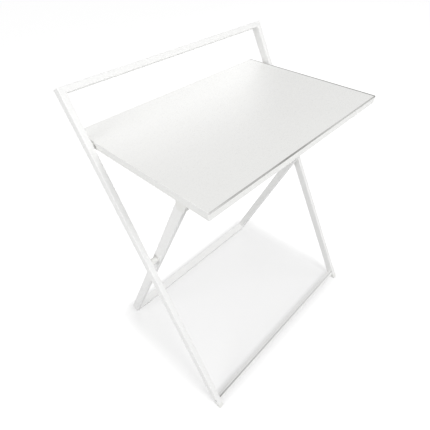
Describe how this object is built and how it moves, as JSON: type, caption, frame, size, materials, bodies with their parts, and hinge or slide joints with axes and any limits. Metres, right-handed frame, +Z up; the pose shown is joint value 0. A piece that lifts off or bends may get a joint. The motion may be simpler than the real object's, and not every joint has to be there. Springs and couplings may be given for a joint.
{
  "type": "folding desk",
  "caption": "Folding desk: steel tray top on a crossed pair of white tube frames, the outer one rising behind the top as a back rail.",
  "frame": {"origin": "on the floor, at the middle of the ground that the desk covers", "axes": "+Z up, the sitter's side faces -Y, X along the desk's width"},
  "size_m": [0.678, 0.48, 0.8511],
  "materials": {
    "frame_powder_coat": "satin white powder coat",
    "desk_powder_coat": "fine-textured matt white powder coat",
    "white_nylon": "moulded white nylon",
    "natural_nylon": "turned natural nylon",
    "zinc_steel": "bright zinc plate"
  },
  "bodies": {
    "outer_frame": {"back_rail": "frame_powder_coat", "desk_pivot_bolt_left": "zinc_steel", "desk_pivot_bolt_right": "zinc_steel", "desk_pivot_insert_left": "zinc_steel", "desk_pivot_insert_right": "zinc_steel", "desk_pivot_washer_left": "white_nylon", "desk_pivot_washer_right": "white_nylon", "front_cross_bar": "frame_powder_coat", "front_foot_left": "white_nylon", "front_foot_right": "white_nylon", "leg_pivot_bolt_left": "frame_powder_coat", "leg_pivot_bolt_right": "frame_powder_coat", "leg_pivot_insert_left": "zinc_steel", "leg_pivot_insert_right": "zinc_steel", "leg_pivot_spacer_left": "white_nylon", "leg_pivot_spacer_right": "white_nylon", "outer_leg_left": "frame_powder_coat", "outer_leg_right": "frame_powder_coat"},
    "inner_frame": {"inner_frame_tube": "frame_powder_coat", "inner_leg_cap_left": "white_nylon", "inner_leg_cap_right": "white_nylon", "inner_top_bar": "frame_powder_coat", "leg_pivot_bush_left": "natural_nylon", "leg_pivot_bush_right": "natural_nylon", "rear_glide_left": "white_nylon", "rear_glide_right": "white_nylon"},
    "desktop": {"desk_pivot_bush_left": "natural_nylon", "desk_pivot_bush_right": "natural_nylon", "desk_tray": "desk_powder_coat", "front_stiffener": "desk_powder_coat", "leg_socket_left": "white_nylon", "leg_socket_right": "white_nylon", "pivot_plate_left": "desk_powder_coat", "pivot_plate_right": "desk_powder_coat", "rear_stiffener": "desk_powder_coat", "socket_nut_front_left": "zinc_steel", "socket_nut_front_right": "zinc_steel", "socket_nut_rear_left": "zinc_steel", "socket_nut_rear_right": "zinc_steel", "socket_stud_front_left": "zinc_steel", "socket_stud_front_right": "zinc_steel", "socket_stud_rear_left": "zinc_steel", "socket_stud_rear_right": "zinc_steel"}
  },
  "joints": [
    {"name": "leg_fold", "type": "hinge", "parent": "outer_frame", "child": "inner_frame", "pos_m": [0, 0.01448, 0.44855], "axis": [-1, 0, 0], "range_deg": [0, 50.8]},
    {"name": "desk_lift", "type": "hinge", "parent": "outer_frame", "child": "desktop", "pos_m": [0, 0.16746, 0.731], "axis": [-1, 0, 0], "range_deg": [0, 107.4]}
  ]
}
